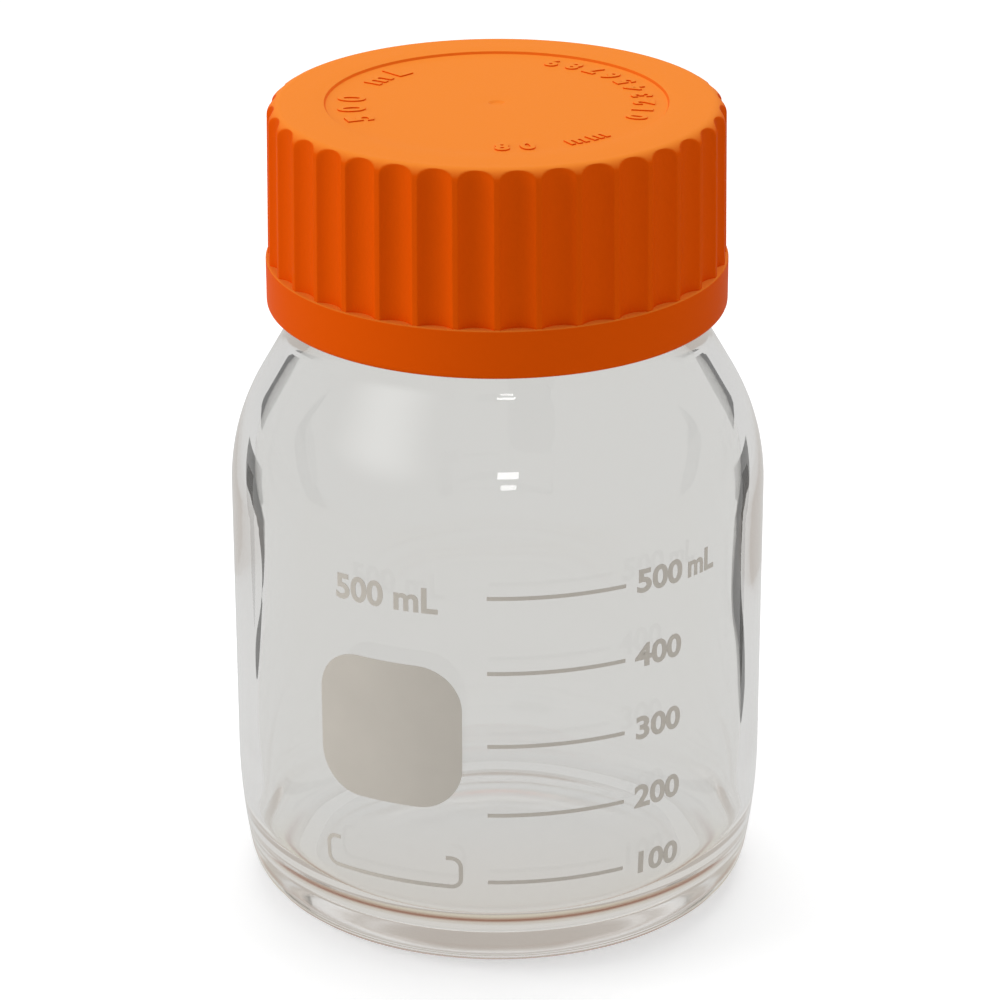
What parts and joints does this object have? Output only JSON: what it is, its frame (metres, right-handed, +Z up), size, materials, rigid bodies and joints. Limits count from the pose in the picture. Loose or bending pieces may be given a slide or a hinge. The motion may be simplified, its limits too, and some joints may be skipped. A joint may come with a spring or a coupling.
{
  "type": "wide-mouth glass bottle",
  "caption": "Round wide-mouth laboratory glass bottle with a printed volume scale, a writing patch, a pouring ring and a fluted screw cap that lifts off.",
  "frame": {"origin": "centre of the foot ring, on the surface that the bottle stands on", "axes": "+Z up along the bottle's axis towards the cap, -Y towards the front with the printed scale, +X to the right of that front"},
  "size_m": [0.101, 0.1011, 0.1552],
  "materials": {
    "clear_glass": "polished",
    "orange_plastic": "satin",
    "fired_print": "satin"
  },
  "bodies": {
    "glassware": {"bottle": "clear_glass", "pouring_ring": "orange_plastic", "graduation_lines": "fired_print", "writing_patch": "fired_print", "code_frame": "fired_print"},
    "closure": {"cap": "orange_plastic"}
  },
  "joints": [
    {"name": "cap_lift", "type": "slide", "parent": "glassware", "child": "closure", "axis": [0, 0, 1], "range_m": [0, 0.12]}
  ]
}
